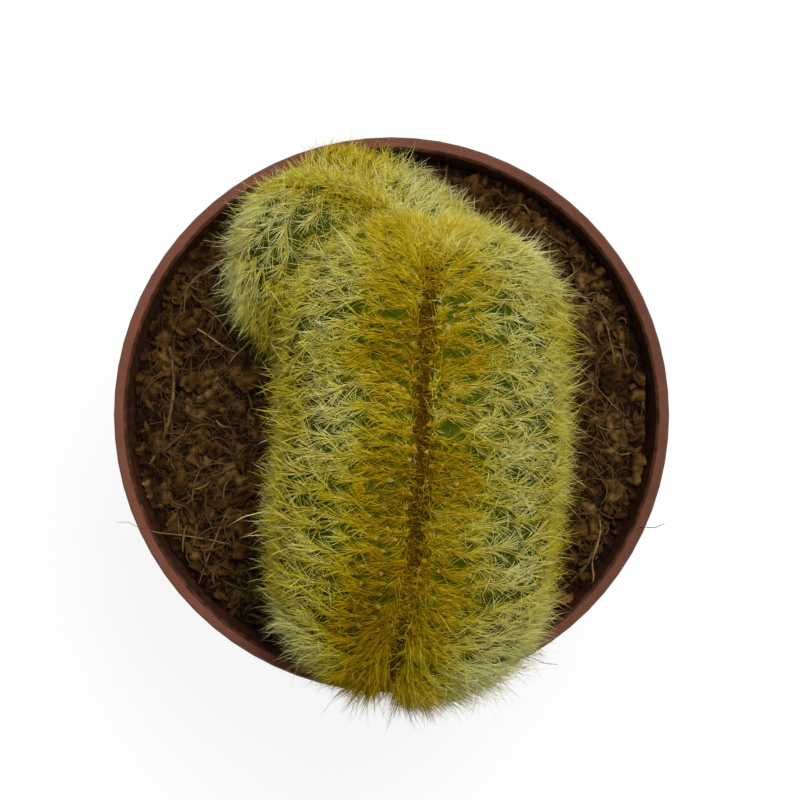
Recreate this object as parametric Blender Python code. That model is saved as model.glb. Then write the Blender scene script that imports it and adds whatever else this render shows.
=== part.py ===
"""A crested golden ball cactus, two fan-shaped stems rooted in a round nursery pot.

Metres, +Z up. The origin is the centre of the pot's underside. +Y is the back of the pot, where
the small stem leans on the lip, and -Y is the front, where the large stem reaches over it.
"""

import math
import random
from dataclasses import dataclass, replace

import bmesh
import bpy
from mathutils import Matrix, Vector, noise
from mathutils.bvhtree import BVHTree

MM = 0.001
CLEARANCE = 0.3 * MM  # kept between pieces that touch in the real plant

# Pot: a thin tapered shell with a lip that turns over into a short skirt.
POT_HEIGHT = 88 * MM
LIP_RADIUS = 52.5 * MM
LIP_WIDTH = 2.4 * MM
LIP_THICKNESS = 1.2 * MM
SKIRT_HEIGHT = 8 * MM
SKIRT_WALL = 0.8 * MM
WALL = 0.9 * MM
FLOOR = 1.1 * MM
FOOT_RADIUS = 38 * MM
POT_SIDES = 72

# Underside: a flat pad and a flat foot ring, with a raised gutter of drain holes between them.
PAD_RADIUS = 21 * MM
GUTTER_END = 32.5 * MM
GUTTER_RISE = 2.2 * MM
GUTTER_SLOPE = 1.5 * MM
DRAINS = 8
DRAIN_RADIUS = 3.5 * MM

# Potting mix: coir and peat, with an uneven top a little below the lip.
MIX_LEVEL = POT_HEIGHT - 5.6 * MM
MIX_UNEVENNESS = 1.3 * MM
MIX_LUMP = 11 * MM  # width of one rise and fall of the surface
MIX_SAG = 0.6 * MM  # how much lower the mix lies at the wall
MIX_RINGS = 9
MIX_SIDES = 48
SOCKET_GAP = 0.5 * MM

# Loose pieces on the mix.
CHIPS = 14
CHIP_LENGTHS = (4.0 * MM, 7.5 * MM)
FIBRES = 7
FIBRE_LENGTHS = (14 * MM, 26 * MM)
FIBRE_RADIUS = 0.35 * MM
FIBRE_POINTS = 11
LOOSE_MARGIN = 1.2 * MM  # kept between loose pieces, and between them and the stems

# Stems.
SPINE_LENGTH = 4.2 * MM
SPINE_RADIUS = 0.55 * MM
SPINE_LEAN = 0.5  # share of a spine's length that leans away from the crest line
RIBS = 44
RINGS = 10  # from the middle of a flank to the crest line


@dataclass(frozen=True)
class Crest:
    """One fan-shaped stem. In its own frame X is across the furrow, Y along it and Z up."""

    centre: Vector
    yaw: float
    tilt: float
    half_length: float
    half_thickness: float
    rise: float
    drop: float
    fan_height: float  # where the ribs of a flank meet, against the centre
    furrow_depth: float
    notch_depth: float  # extra depth where the furrow runs down the end at -Y
    furrow_width: float
    furrow_shift: float  # how far the furrow lies off the middle, across the stem
    swelling: float
    square_back: float  # how much fuller the end at +Y is than a plain rounded one
    square_front: float

    @property
    def placement(self):
        turn = Matrix.Rotation(self.yaw, 4, "Z") @ Matrix.Rotation(self.tilt, 4, "Y")
        return Matrix.Translation(self.centre) @ turn


OUTLINE_POWER = 2.3  # the crest line's arch, between an ellipse (2) and a rectangle
SECTION_POWERS = (3.2, 2.4)  # the same for the rounding from flank to flank

MAIN = Crest(
    centre=Vector((4.9, -8.2, 101)) * MM,
    yaw=math.radians(-3.6),
    tilt=0.0,
    half_length=42.3 * MM,
    half_thickness=24.4 * MM,
    rise=33 * MM,
    drop=28 * MM,
    fan_height=-16 * MM,
    furrow_depth=1.6 * MM,
    notch_depth=4.5 * MM,
    furrow_width=2.6 * MM,
    furrow_shift=-0.2 * MM,
    swelling=0.035,
    square_back=1.9,
    square_front=0.8,
)
REAR = Crest(
    centre=Vector((-5.6, 28.2, 86)) * MM,
    yaw=math.radians(-125),
    tilt=math.radians(-40),
    half_length=22.5 * MM,
    half_thickness=21 * MM,
    rise=16.5 * MM,
    drop=16 * MM,
    fan_height=-8 * MM,
    furrow_depth=1.5 * MM,
    notch_depth=3.0 * MM,
    furrow_width=2.6 * MM,
    furrow_shift=-3.5 * MM,
    swelling=0.04,
    square_back=0.0,
    square_front=0.0,
)


def material(name, colour, roughness):
    made = bpy.data.materials.new(name)
    made.use_nodes = True
    shader = made.node_tree.nodes["Principled BSDF"]
    shader.inputs["Base Color"].default_value = (*colour, 1)
    shader.inputs["Roughness"].default_value = roughness
    return made


def add_object(name, mesh_data, finish, shown=True):
    made = bpy.data.objects.new(name, mesh_data)
    made.data.materials.append(finish)
    bpy.context.scene.collection.objects.link(made)
    if not shown:
        made.hide_render = True
        made.display_type = "WIRE"
    return made


def mesh_from(bm, name):
    bmesh.ops.recalc_face_normals(bm, faces=bm.faces)
    data = bpy.data.meshes.new(name)
    bm.to_mesh(data)
    bm.free()
    data.shade_smooth()
    data.set_sharp_from_angle(angle=math.radians(35))
    return data


def turned(profile, sides):
    """A closed body of revolution. The profile starts and ends on the axis."""
    bm = bmesh.new()
    rings = []
    for radius, height in profile:
        if radius == 0:
            rings.append([bm.verts.new((0, 0, height))])
            continue
        turns = [2 * math.pi * i / sides for i in range(sides)]
        rings.append([bm.verts.new((radius * math.cos(a), radius * math.sin(a), height)) for a in turns])
    join_rings(bm, rings)
    return bm


def join_rings(bm, rings):
    """Faces between each ring and the next. A ring of one vertex closes the body."""
    for ring, after in zip(rings, rings[1:]):
        count = max(len(ring), len(after))
        for i in range(count):
            j = (i + 1) % count
            corners = [ring[i % len(ring)], ring[j % len(ring)]]
            corners += [after[j % len(after)], after[i % len(after)]]
            bm.faces.new(list(dict.fromkeys(corners)))


def cut(target, tool):
    modifier = target.modifiers.new("Cut " + tool.name, "BOOLEAN")
    modifier.operation = "DIFFERENCE"
    modifier.solver = "EXACT"
    modifier.object = tool


def tree_of(obj):
    """The object's evaluated surface in world space."""
    bpy.context.view_layer.update()
    graph = bpy.context.evaluated_depsgraph_get()
    bm = bmesh.new()
    bm.from_object(obj, graph)
    bm.transform(obj.matrix_world)
    bm.normal_update()
    tree = BVHTree.FromBMesh(bm)
    bm.free()
    return tree


# ---------------------------------------------------------------- pot


def inner_radius(height):
    """The pot's inner wall, a straight taper from the lip down to the foot."""
    lip = LIP_RADIUS - LIP_WIDTH
    return FOOT_RADIUS - WALL + (lip - FOOT_RADIUS + WALL) * height / POT_HEIGHT


def floor_profile(lift, shift):
    """The pad, gutter and foot ring in section, from the axis outwards."""
    return [
        (0, lift),
        (PAD_RADIUS - shift, lift),
        (PAD_RADIUS + GUTTER_SLOPE - shift, lift + GUTTER_RISE),
        (GUTTER_END - GUTTER_SLOPE + shift, lift + GUTTER_RISE),
        (GUTTER_END + shift, lift),
    ]


def pot_profile():
    round_edge = 0.4 * MM
    groove_top = POT_HEIGHT - LIP_THICKNESS
    skirt_foot = POT_HEIGHT - SKIRT_HEIGHT
    outside = [
        (FOOT_RADIUS - 2 * round_edge, 0),
        (FOOT_RADIUS, 2 * round_edge),
        (inner_radius(groove_top) + WALL, groove_top),
        (LIP_RADIUS - SKIRT_WALL, groove_top),
        (LIP_RADIUS - SKIRT_WALL, skirt_foot),
        (LIP_RADIUS - round_edge / 2, skirt_foot),
        (LIP_RADIUS, POT_HEIGHT - 2 * round_edge),
        (LIP_RADIUS - round_edge, POT_HEIGHT),
    ]
    inside = [
        (LIP_RADIUS - LIP_WIDTH + round_edge, POT_HEIGHT),
        (inner_radius(POT_HEIGHT - round_edge), POT_HEIGHT - round_edge),
        (inner_radius(2 * FLOOR), 2 * FLOOR),
        (inner_radius(2 * FLOOR) - FLOOR, FLOOR),
    ]
    return floor_profile(0, 0) + outside + inside + floor_profile(FLOOR, FLOOR / 2)[::-1]


def drain_cutter(finish):
    """One body for each round hole through the gutter."""
    reach = (PAD_RADIUS + GUTTER_END) / 2
    bm = bmesh.new()
    for index in range(DRAINS):
        turn = Matrix.Rotation(2 * math.pi * (index + 0.5) / DRAINS, 4, "Z")
        place = turn @ Matrix.Translation((reach, 0, GUTTER_RISE))
        bmesh.ops.create_cone(
            bm,
            cap_ends=True,
            segments=16,
            radius1=DRAIN_RADIUS,
            radius2=DRAIN_RADIUS,
            depth=8 * MM,
            matrix=place,
        )
    return add_object("drain_cutter", mesh_from(bm, "drain_cutter"), finish, shown=False)


def build_pot():
    finish = material("terracotta_plastic", (0.19, 0.073, 0.042), 0.5)
    pot = add_object("pot", mesh_from(turned(pot_profile(), POT_SIDES), "pot"), finish)
    cut(pot, drain_cutter(finish))
    return pot


# ---------------------------------------------------------------- stems


def outline_share(crest, y, z):
    """How far out a point of the flank lies: 0 at the middle and 1 on the crest line."""
    height = crest.rise if z > 0 else crest.drop
    power = OUTLINE_POWER
    return (abs(y / crest.half_length) ** power + abs(z / height) ** power) ** (1 / power)


def rib_length(crest, turn):
    """From the fan's centre to the crest line, along the rib at this angle."""
    short, long = 0.0, 2 * (crest.half_length + crest.rise + crest.drop)
    while long - short > 1e-7:
        middle = (short + long) / 2
        y, z = middle * math.cos(turn), crest.fan_height + middle * math.sin(turn)
        if outline_share(crest, y, z) < 1:
            short = middle
        else:
            long = middle
    return short


def rib_point(crest, turn, share, side):
    """A point of one flank in the stem's own frame, with share 0 where the ribs meet and 1 at the furrow."""
    reach = math.sin(share * math.pi / 2)
    along = rib_length(crest, turn) * reach
    y, z = along * math.cos(turn), crest.fan_height + along * math.sin(turn)
    outwards = outline_share(crest, y, z) if share < 1 else 1.0
    back, front = max(0.0, math.cos(turn)), max(0.0, -math.cos(turn))
    power = SECTION_POWERS[0] + crest.square_back * back**2 + crest.square_front * front**2
    fullness = max(0.0, 1 - outwards**power) ** (1 / SECTION_POWERS[1])
    swell = 1 + crest.swelling * reach * (math.sin(4 * turn + side) + 0.6 * math.sin(7 * turn - 2 * side))
    x = crest.half_thickness * fullness * swell
    depth = crest.furrow_depth + crest.notch_depth * front**3
    along *= 1 + 0.5 * crest.swelling * reach * math.sin(3 * turn + 0.6)
    along -= depth * math.exp(-((x / crest.furrow_width) ** 2))
    across = side * x + crest.furrow_shift * share**6
    return Vector((across, along * math.cos(turn), crest.fan_height + along * math.sin(turn)))


def crest_body(crest):
    """The stem's skin: a fan of ribs on each flank, joined along the furrow."""
    bm = bmesh.new()
    turns = [2 * math.pi * i / RIBS for i in range(RIBS)]

    def ring(share, side):
        if share == 0:
            return [bm.verts.new(rib_point(crest, 0, 0, side))]
        return [bm.verts.new(rib_point(crest, turn, share, side)) for turn in turns]

    shares = [i / RINGS for i in range(RINGS + 1)]
    rings = [ring(share, -1) for share in shares] + [ring(share, 1) for share in reversed(shares[:-1])]
    join_rings(bm, rings)
    bmesh.ops.recalc_face_normals(bm, faces=bm.faces)
    return bm


def height_above(tree, point):
    """Distance out of a closed surface, below 0 for a point inside it."""
    surface, normal, _, distance = tree.find_nearest(point)
    return math.copysign(distance, (point - surface).dot(normal))


def grow_spines(bm, crest, neighbours):
    """Raises a stout spine from every second face of every second ring, where nothing is in its way."""
    place = crest.placement
    raised = []
    for index, face in enumerate(list(bm.faces)):
        rib, ring = index % RIBS, index // RIBS
        ring = min(ring, 2 * RINGS - 1 - ring)
        if ring == 0 or ring % 2 or (rib + ring // 2) % 2:
            continue
        root = face.calc_center_median()
        outwards = (root - Vector((0, 0, crest.fan_height))).normalized()
        away = Vector((math.copysign(1, root.x), 0, 0))
        lean = (away - away.dot(face.normal) * face.normal) + 0.4 * outwards
        way = (face.normal + SPINE_LEAN * lean).normalized()
        start, end = place @ root, place @ (root + way * SPINE_LENGTH)
        steps = [start.lerp(end, i / 6) for i in range(7)]
        blocked = any(
            tree.ray_cast(start, end - start, SPINE_LENGTH)[0] is not None
            or min(height_above(tree, point) for point in steps) < MM
            for tree in neighbours
        )
        if end.z < MIX_LEVEL + 4 * MM or blocked:
            continue
        raised.append((face, root, root + way * SPINE_LENGTH))
    for face, root, tip in raised:
        bmesh.ops.inset_individual(bm, faces=[face], thickness=0.2 * MM)
        for vertex in face.verts:
            vertex.co = root + (vertex.co - root).normalized() * SPINE_RADIUS
        for vertex in bmesh.ops.poke(bm, faces=[face])["verts"]:
            vertex.co = tip


def lip_cutter(finish):
    """A ring as large as the lip and wall and one clearance more, for stems that press on them."""
    top, foot, outside = POT_HEIGHT + CLEARANCE, POT_HEIGHT - 30 * MM, LIP_RADIUS + 20 * MM
    section = [(inner_radius(h) - CLEARANCE, h) for h in (foot, top)] + [(outside, top), (outside, foot)]
    bm = bmesh.new()
    turns = [2 * math.pi * i / POT_SIDES for i in range(POT_SIDES)]
    rings = [[bm.verts.new((r * math.cos(a), r * math.sin(a), h)) for a in turns] for r, h in section]
    join_rings(bm, rings + rings[:1])
    return add_object("lip_cutter", mesh_from(bm, "lip_cutter"), finish, shown=False)


def build_stems(pot):
    """Both stems. They are flattened where they press on the pot and the small one on the large."""
    finish = material("cactus_skin", (0.10, 0.17, 0.03), 0.5)
    main, rear = crest_body(MAIN), crest_body(REAR)
    main_cutter = socket_cutter(MAIN, "main_socket_cutter", finish)
    rear_cutter = socket_cutter(REAR, "rear_socket_cutter", finish)
    pot_tree = tree_of(pot)
    grow_spines(main, MAIN, [tree_of(rear_cutter), pot_tree])
    main_crest = add_object("main_crest", mesh_from(main, "main_crest"), finish)
    main_crest.matrix_world = MAIN.placement
    grow_spines(rear, REAR, [tree_of(main_crest), pot_tree])
    rear_crest = add_object("rear_crest", mesh_from(rear, "rear_crest"), finish)
    rear_crest.matrix_world = REAR.placement
    lip = lip_cutter(finish)
    cut(main_crest, lip)
    cut(rear_crest, lip)
    cut(rear_crest, main_cutter)
    return main_cutter, rear_cutter


def socket_cutter(crest, name, finish):
    """The bare stem with its furrow filled, made larger by the socket's clearance."""
    grown = crest_body(replace(crest, furrow_depth=0.0, notch_depth=0.0))
    grown.normal_update()
    for vertex in grown.verts:
        vertex.co += vertex.normal * SOCKET_GAP
    copy = add_object(name, mesh_from(grown, name), finish, shown=False)
    copy.matrix_world = crest.placement
    return copy


# ---------------------------------------------------------------- potting mix


def mix_height(x, y):
    """The top of the mix: lumpy, and lower along the wall."""
    place = Vector((x, y, 0)) / MIX_LUMP
    outwards = math.hypot(x, y) / inner_radius(MIX_LEVEL)
    return MIX_LEVEL + MIX_UNEVENNESS * noise.noise(place) - MIX_SAG * outwards**6


def build_mix(sockets):
    finish = material("coir_mix", (0.055, 0.032, 0.015), 0.95)
    floor = floor_profile(FLOOR + CLEARANCE, FLOOR / 2 + CLEARANCE)
    corner = 2 * FLOOR + CLEARANCE
    side = [
        (inner_radius(corner) - FLOOR - CLEARANCE, FLOOR + CLEARANCE),
        (inner_radius(corner) - CLEARANCE, corner + CLEARANCE),
    ]
    edge = inner_radius(MIX_LEVEL - MIX_SAG - MIX_UNEVENNESS) - CLEARANCE
    top = [(edge * i / MIX_RINGS, MIX_LEVEL) for i in range(MIX_RINGS, -1, -1)]
    bm = turned(floor + side + top, MIX_SIDES)
    for vertex in bm.verts:
        if vertex.co.z > MIX_LEVEL - MM:
            vertex.co.z = mix_height(vertex.co.x, vertex.co.y)
    mix = add_object("potting_mix", mesh_from(bm, "potting_mix"), finish)
    for socket in sockets:
        cut(mix, socket)
    return mix


def drop_onto(tree, point):
    """The surface right under this point, or None."""
    return tree.ray_cast(Vector((point[0], point[1], 1)), Vector((0, 0, -1)))[0]


def free_spot(rng, size, taken, stems):
    """A place with open sky on the mix, at least this far from stems, wall and other loose pieces."""
    while True:
        turn, reach = rng.uniform(0, 2 * math.pi), rng.uniform(24 * MM, 45 * MM)
        spot = Vector((reach * math.cos(turn), reach * math.sin(turn), 0))
        wall = inner_radius(MIX_LEVEL) - reach - LOOSE_MARGIN
        if wall < 1.3 * size or any((spot - other).length < size + width for other, width in taken):
            continue
        if any(drop_onto(tree, spot) for tree in stems):
            continue
        levels = [Vector((spot.x, spot.y, MIX_LEVEL + rise)) for rise in (-2 * MM, MM, 4 * MM)]
        if min(tree.find_nearest(level)[3] for tree in stems for level in levels) > size + LOOSE_MARGIN:
            return spot


def settle(bm, mix_tree):
    """Lowers a body until its closest point is one clearance above the mix."""
    gaps = [vertex.co.z - drop_onto(mix_tree, vertex.co).z for vertex in bm.verts]
    bmesh.ops.translate(bm, vec=(0, 0, CLEARANCE + 0.15 * MM - min(gaps)), verts=bm.verts)


def build_chips(rng, mix_tree, stems, taken):
    """Short lumps of husk lying on the mix."""
    finish = material("husk", (0.11, 0.065, 0.032), 0.9)
    for index in range(1, CHIPS + 1):
        length = rng.uniform(*CHIP_LENGTHS)
        size = Vector((length, length * rng.uniform(0.5, 0.8), length * rng.uniform(0.35, 0.55))) / 2
        spot = free_spot(rng, length / 2 + LOOSE_MARGIN / 2, taken, stems)
        taken.append((spot, length / 2))
        bm = bmesh.new()
        bmesh.ops.create_icosphere(bm, subdivisions=2, radius=1)
        roughness = Vector((rng.random(), rng.random(), rng.random())) * 50
        for vertex in bm.verts:
            vertex.co *= 1 + 0.35 * noise.noise(1.3 * vertex.co + roughness)
            vertex.co = Vector(a * b for a, b in zip(vertex.co, size))
        place = Matrix.Translation(spot + Vector((0, 0, 0.1)))
        place @= Matrix.Rotation(rng.uniform(0, math.pi), 4, "Z")
        bmesh.ops.transform(bm, matrix=place, verts=bm.verts)
        settle(bm, mix_tree)
        add_object(f"husk_chip_{index:02d}", mesh_from(bm, "husk_chip"), finish)


def fibre_route(rng, spot, mix_tree):
    """A shallow arc that follows the mix, one point a little above it at each step."""
    length, bend = rng.uniform(*FIBRE_LENGTHS), rng.uniform(-1.2, 1.2)
    heading = math.atan2(spot.y, spot.x) + math.pi / 2 + rng.uniform(-0.35, 0.35)
    step = length / (FIBRE_POINTS - 1)
    flat = []
    for i in range(FIBRE_POINTS):
        turn = heading + bend * (i / (FIBRE_POINTS - 1) - 0.5)
        start = spot - Vector((math.cos(heading), math.sin(heading), 0)) * length / 2
        flat.append((flat[-1] if flat else start) + Vector((math.cos(turn), math.sin(turn), 0)) * step)
    ground = []
    for point in flat:
        around = [point + Vector((dx, dy, 0)) for dx in (-MM, 0, MM) for dy in (-MM, 0, MM)]
        hits = [drop_onto(mix_tree, p) for p in around]
        if None in hits:
            return None
        ground.append(max(hit.z for hit in hits))
    lift = FIBRE_RADIUS + CLEARANCE
    return [Vector((p.x, p.y, z + lift)) for p, z in zip(flat, ground)]


def build_fibres(rng, mix_tree, stems, taken):
    """Coir strands lying on the mix between the lumps."""
    finish = material("coir", (0.17, 0.11, 0.06), 0.8)
    index = 0
    while index < FIBRES:
        spot = free_spot(rng, LOOSE_MARGIN, taken, stems)
        route = fibre_route(rng, spot, mix_tree)
        if route is None:
            continue
        flat = [Vector((p.x, p.y, 0)) for p in route]
        gaps = [(p - other).length - width for p in flat for other, width in taken]
        gaps += [inner_radius(MIX_LEVEL) - p.length for p in flat]
        gaps += [tree.find_nearest(p)[3] for p in route for tree in stems]
        if min(gaps) < LOOSE_MARGIN:
            continue
        index += 1
        taken.extend((p, FIBRE_RADIUS) for p in flat)
        curve = bpy.data.curves.new("coir_fibre", "CURVE")
        curve.dimensions = "3D"
        curve.bevel_depth = FIBRE_RADIUS
        curve.bevel_resolution = 1
        curve.use_fill_caps = True
        spline = curve.splines.new("POLY")
        spline.points.add(len(route) - 1)
        for point, place in zip(spline.points, route):
            point.co = (*place, 1)
        add_object(f"coir_fibre_{index:02d}", curve, finish)


def main():
    for obj in list(bpy.data.objects):
        bpy.data.objects.remove(obj)
    pot = build_pot()
    sockets = build_stems(pot)
    mix_tree = tree_of(build_mix(sockets))
    stems = [tree_of(bpy.data.objects[name]) for name in ("main_crest", "rear_crest")]
    rng = random.Random(7)
    taken = []
    build_chips(rng, mix_tree, stems, taken)
    build_fibres(rng, mix_tree, stems, taken)


main()
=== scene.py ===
"""A crested golden ball cactus in its nursery pot: the look of each piece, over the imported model."""

import math

import bmesh
import bpy
import numpy as np
from mathutils import Matrix, Vector, kdtree, noise
from mathutils.bvhtree import BVHTree


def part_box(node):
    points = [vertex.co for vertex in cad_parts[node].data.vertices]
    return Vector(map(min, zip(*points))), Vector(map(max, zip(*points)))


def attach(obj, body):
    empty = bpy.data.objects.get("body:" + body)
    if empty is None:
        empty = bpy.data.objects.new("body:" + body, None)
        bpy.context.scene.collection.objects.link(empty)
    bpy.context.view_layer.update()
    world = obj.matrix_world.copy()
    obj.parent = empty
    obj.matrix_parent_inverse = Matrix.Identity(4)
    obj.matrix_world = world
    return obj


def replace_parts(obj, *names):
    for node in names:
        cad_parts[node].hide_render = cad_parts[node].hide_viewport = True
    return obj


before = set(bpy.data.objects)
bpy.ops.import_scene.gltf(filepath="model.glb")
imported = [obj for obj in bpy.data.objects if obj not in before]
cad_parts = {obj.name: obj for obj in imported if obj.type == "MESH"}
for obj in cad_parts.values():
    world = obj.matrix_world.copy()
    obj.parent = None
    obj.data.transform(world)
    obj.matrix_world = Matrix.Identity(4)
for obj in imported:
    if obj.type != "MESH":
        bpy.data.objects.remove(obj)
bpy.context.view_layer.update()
MM = 0.001


# ---- Pot -----------------------------------------------------------------------------------
# A thin terracotta-coloured nursery pot, moulded in one piece from matte polypropylene. Its
# top edge is rolled outwards into a lip. The imported shape is right, so it only gets its plastic:
# faded unevenly, finely grained, a little lime on it, darker towards one side as painted shade,
# and inside a peat stain that is partly painted shade.

LIP_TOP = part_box("pot")[1].z
LIP_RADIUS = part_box("pot")[1].x
LIP_WIDTH = 2.4 * MM
FOOT_RADIUS = 38 * MM
POT_WALL = 0.9 * MM


def inner_radius(height):
    """The pot's inner wall, a straight taper from the lip down to the foot."""
    lip, foot = LIP_RADIUS - LIP_WIDTH, FOOT_RADIUS - POT_WALL
    return foot + (lip - foot) * height / LIP_TOP


def feed(tree, socket, value):
    """Links a socket in, or sets a number or a colour."""
    if isinstance(value, bpy.types.NodeSocket):
        tree.links.new(value, socket)
    else:
        socket.default_value = (*value, 1) if isinstance(value, tuple) else value


def add_node(tree, kind, **values):
    """A node with its properties and input sockets set by name."""
    node = tree.nodes.new(kind)
    for key, value in values.items():
        if hasattr(node, key):
            setattr(node, key, value)
        else:
            feed(tree, node.inputs[key], value)
    return node


def maths(tree, operation, *values, clamp=False):
    """One arithmetic step on sockets or numbers. Gives its socket."""
    node = add_node(tree, "ShaderNodeMath", operation=operation, use_clamp=clamp)
    for socket, value in zip(node.inputs, values):
        feed(tree, socket, value)
    return node.outputs[0]


def mix_colours(tree, amount, first, second):
    """The second colour over the first by amount, each a socket or a value. Gives the result's socket."""
    node = add_node(tree, "ShaderNodeMix", data_type="RGBA")
    factor, _, _, _, _, _, below, above = node.inputs[:8]
    for socket, value in ((factor, amount), (below, first), (above, second)):
        feed(tree, socket, value)
    return node.outputs[2]


def mottle_group():
    """Soft blotches between 0 and 1, sharpened by contrast. Scale is blotches per metre."""
    group = bpy.data.node_groups.new("mottle", "ShaderNodeTree")
    for label, default in (("Scale", 200.0), ("Contrast", 2.0)):
        socket = group.interface.new_socket(label, in_out="INPUT", socket_type="NodeSocketFloat")
        socket.default_value = default
    group.interface.new_socket("Mask", in_out="OUTPUT", socket_type="NodeSocketFloat")
    entry = group.nodes.new("NodeGroupInput")
    where = add_node(group, "ShaderNodeTexCoord").outputs["Object"]
    cloud = add_node(group, "ShaderNodeTexNoise", Vector=where, Scale=entry.outputs["Scale"], Detail=5.0)
    centred = maths(group, "SUBTRACT", cloud.outputs[0], 0.5)
    mask = maths(group, "MULTIPLY_ADD", centred, entry.outputs["Contrast"], 0.5, clamp=True)
    group.links.new(mask, group.nodes.new("NodeGroupOutput").inputs["Mask"])
    return group


MOTTLE = mottle_group()


def mottle(tree, scale, contrast):
    """The mottle group in a material. Gives its mask socket."""
    node = add_node(tree, "ShaderNodeGroup", node_tree=MOTTLE, Scale=scale, Contrast=contrast)
    return node.outputs["Mask"]


def new_material(name, roughness, shine):
    """A material with a Principled shader, and its tree."""
    made = bpy.data.materials.new(name)
    made.use_nodes = True
    shader = made.node_tree.nodes["Principled BSDF"]
    shader.inputs["Roughness"].default_value = roughness
    shader.inputs["Specular IOR Level"].default_value = shine
    return made, made.node_tree


def finished(made, colour, grain=None):
    """The material with this colour socket, and with grain: blotches per metre, contrast, height."""
    tree = made.node_tree
    shader = tree.nodes["Principled BSDF"]
    tree.links.new(colour, shader.inputs["Base Color"])
    if grain:
        scale, contrast, height = grain
        blotches = mottle(tree, scale, contrast)
        raised = add_node(tree, "ShaderNodeBump", Strength=1.0, Distance=height, Height=blotches)
        tree.links.new(raised.outputs["Normal"], shader.inputs["Normal"])
    return made


def place_on(tree):
    """The sockets x, y and z of a place on the object."""
    where = add_node(tree, "ShaderNodeTexCoord").outputs["Object"]
    return add_node(tree, "ShaderNodeSeparateXYZ", Vector=where).outputs


# The inner wall below the lip is darkened, partly by peat stain and partly by painted shade.
STAIN_SHADE_MARGIN = 0.55 * MM  # how far outside the inner wall the stain and painted shade may lie
STAIN_SHADE_TOP = LIP_TOP + 2.6 * MM  # where it has faded out, before its edge is made ragged
STAIN_SHADE_RAGGED = 2.2 * MM
STAIN_SHADE_FADE = 1.6 * MM
STAIN_SHADE_BOTTOM = 6 * MM  # clear of the underside


def inside_of_pot(tree):
    """1 on the inner wall below the lip and 0 elsewhere, from where the point is in the pot."""
    x, y, z = place_on(tree)
    squares = (maths(tree, "POWER", socket, 2.0) for socket in (x, y))
    flat = maths(tree, "SQRT", maths(tree, "ADD", *squares))
    taper = (inner_radius(LIP_TOP) - inner_radius(0)) / LIP_TOP
    wall = maths(tree, "MULTIPLY_ADD", z, taper, inner_radius(0) + STAIN_SHADE_MARGIN)
    within = maths(tree, "LESS_THAN", flat, wall)
    edge = maths(tree, "MULTIPLY_ADD", mottle(tree, 330, 3.0), STAIN_SHADE_RAGGED, z)
    depth = maths(tree, "DIVIDE", maths(tree, "SUBTRACT", STAIN_SHADE_TOP, edge), STAIN_SHADE_FADE, clamp=True)
    above_base = maths(tree, "GREATER_THAN", z, STAIN_SHADE_BOTTOM)
    return maths(tree, "MULTIPLY", maths(tree, "MULTIPLY", within, above_base), depth)


def pot_plastic():
    made, tree = new_material("terracotta_plastic", 0.5, 0.07)
    faded_and_lit, fresh_and_shaded, lime = (0.183, 0.061, 0.034), (0.104, 0.033, 0.016), (0.23, 0.13, 0.09)
    x = place_on(tree)[0]
    # Painted shade: the plastic darkens steadily towards one side, as if lit from the other.
    painted_side_shade = maths(tree, "ADD", maths(tree, "MULTIPLY", x, 6.5), 0.30)
    worn = maths(tree, "MULTIPLY", mottle(tree, 90, 2.2), 0.55)
    body = mix_colours(tree, maths(tree, "ADD", painted_side_shade, worn, clamp=True), faded_and_lit, fresh_and_shaded)
    limed = mix_colours(tree, 0.25, body, lime)
    faint = maths(tree, "MULTIPLY", mottle(tree, 420, 5.0), 0.3)
    clean = mix_colours(tree, faint, body, limed)
    # Peat stain and painted shade: the inner wall goes nearly black, as in the pot's shadow.
    peat_stain_and_shade = mix_colours(tree, mottle(tree, 700, 3.0), (0.030, 0.012, 0.006), (0.080, 0.032, 0.016))
    return finished(made, mix_colours(tree, inside_of_pot(tree), clean, peat_stain_and_shade), (2600, 1.6, 0.06 * MM))


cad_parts["pot"].data.materials[0] = pot_plastic()


# ---- Potting mix ---------------------------------------------------------------------------
# Coarse coir and peat, loose and dry on top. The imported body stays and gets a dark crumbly
# finish. Crumbs of every size lie heaped over it, and coir hairs and strands lie on those.

mix_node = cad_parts["potting_mix"]
MIX_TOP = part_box("potting_mix")[1].z
WALL_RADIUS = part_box("potting_mix")[1].x
DEEPEST_BED = MIX_TOP - 6 * MM


def surface_of(*objects):
    """One search tree of the surfaces of these objects."""
    corners, faces = [], []
    for obj in objects:
        faces += [tuple(len(corners) + i for i in face.vertices) for face in obj.data.polygons]
        corners += [vertex.co.copy() for vertex in obj.data.vertices]
    return BVHTree.FromPolygons(corners, faces)


def straight_down(tree, x, y):
    """The highest point of a surface at this place, or None."""
    return tree.ray_cast(Vector((x, y, 1)), Vector((0, 0, -1)))[0]


def painted(tree, name):
    """The number that a mesh carries under this name at each corner. Gives its socket."""
    return add_node(tree, "ShaderNodeAttribute", attribute_name=name).outputs["Fac"]


def colour_ramp(tree, number, *stops):
    """A colour for a number from 0 to 1, blended between stops of (number, colour). Gives its socket."""
    ramp = tree.nodes.new("ShaderNodeValToRGB")
    marks = ramp.color_ramp.elements
    marks[0].color, marks[1].color = (*stops[0][1], 1), (*stops[-1][1], 1)
    for position, colour in stops[1:-1]:
        marks.new(position).color = (*colour, 1)
    tree.links.new(number, ramp.inputs[0])
    return ramp.outputs[0]


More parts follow.
